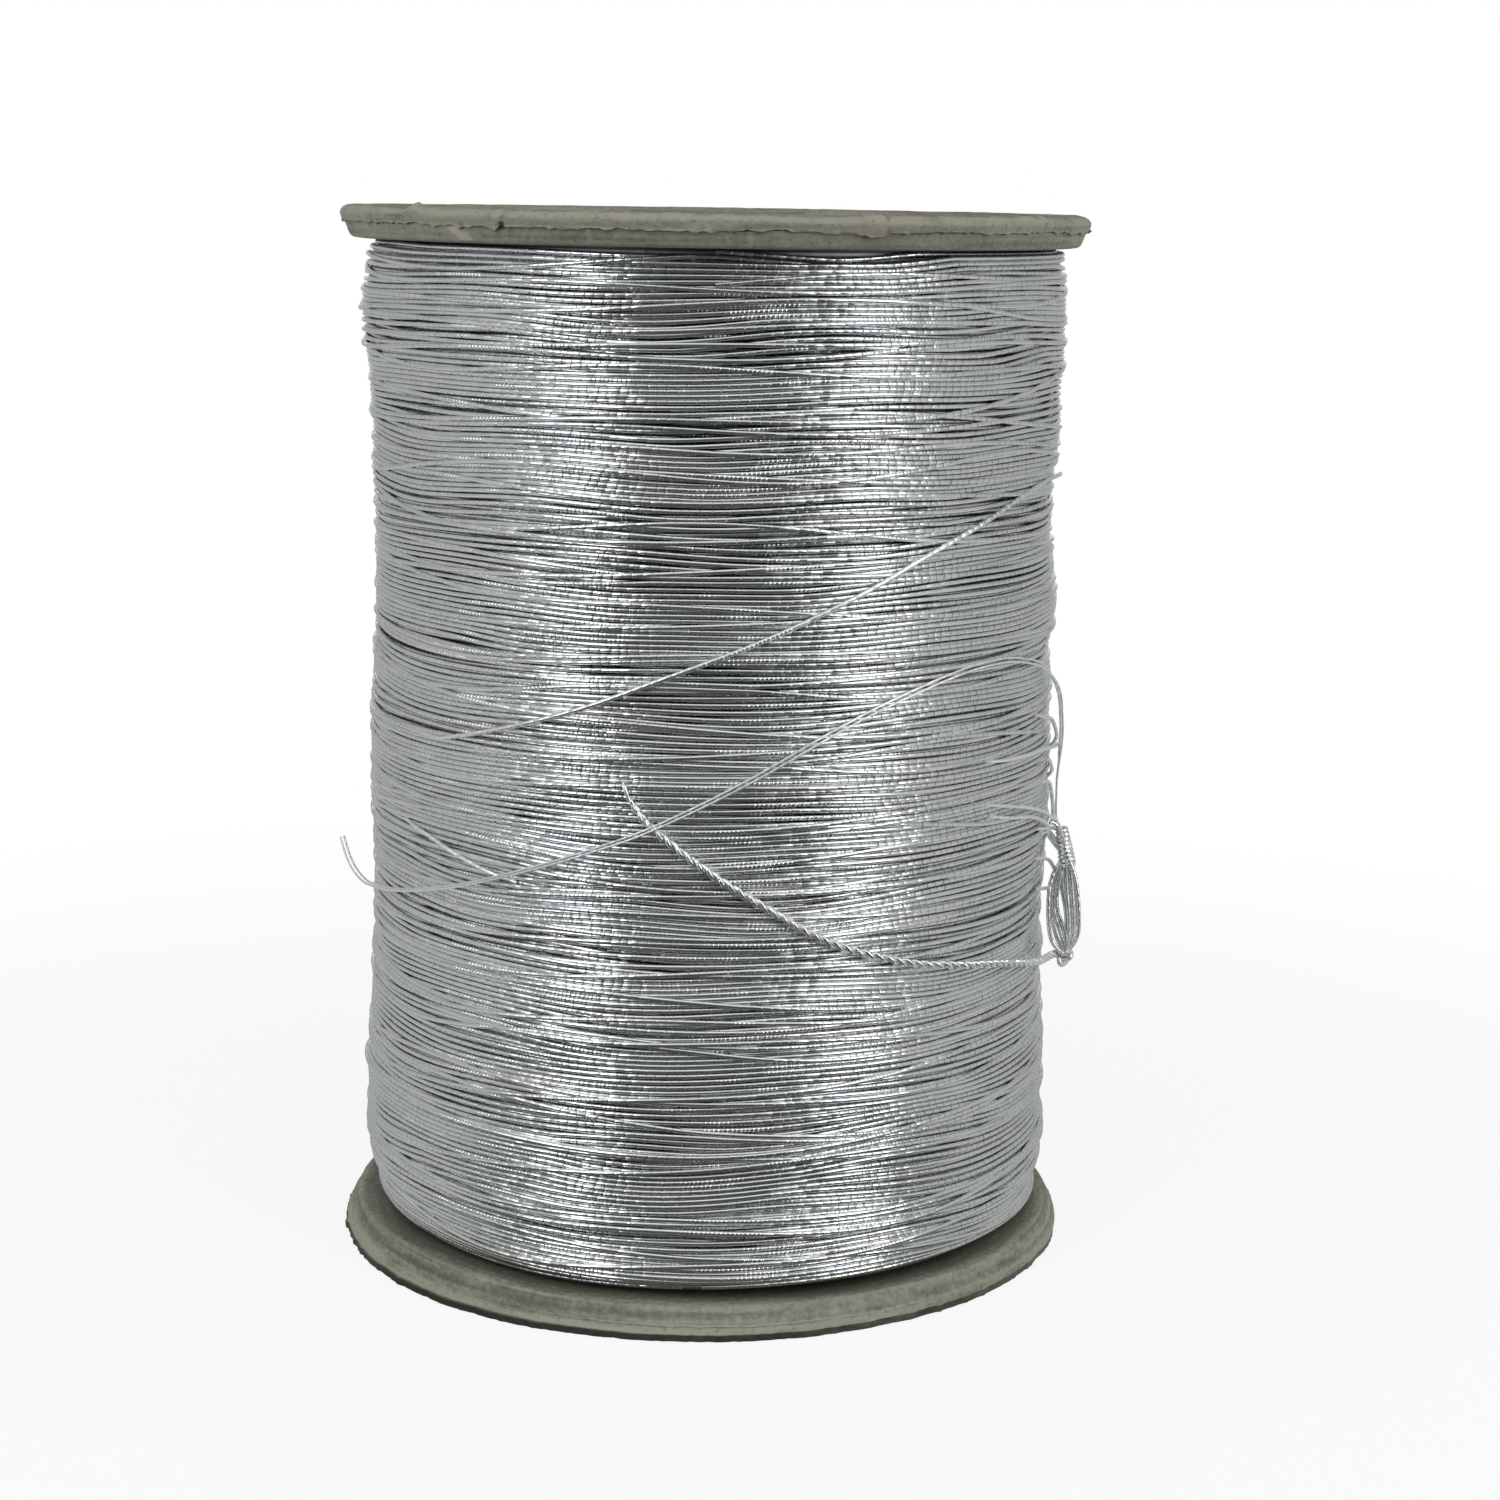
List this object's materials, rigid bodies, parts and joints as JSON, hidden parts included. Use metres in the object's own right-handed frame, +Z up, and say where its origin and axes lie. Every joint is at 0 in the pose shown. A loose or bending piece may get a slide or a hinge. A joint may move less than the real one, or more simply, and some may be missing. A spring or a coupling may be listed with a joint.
{
  "type": "thread reel",
  "caption": "Small flanged spool, moulded in one piece, closely wound with silver metallic thread, its loose ends tied in a little hank.",
  "frame": {"origin": "centre of the spindle bore, on the plane of the lower end face that the reel stands on", "axes": "+Z up along the spindle bore, -Y towards the side where the loose ends cross, +X towards the tied hank"},
  "size_m": [0.052, 0.05, 0.07],
  "materials": {
    "spool_plastic": "matte",
    "silver_thread": "satin",
    "twisted_thread": "satin"
  },
  "bodies": {
    "root": {"spool_body": "spool_plastic", "winding_core": "silver_thread", "outer_layer": "silver_thread", "upper_tail": "silver_thread", "loose_tail": "silver_thread", "twisted_tail": "twisted_thread", "tail_hank": "silver_thread", "hank_wrap": "silver_thread", "hank_knot": "twisted_thread"}
  },
  "joints": []
}
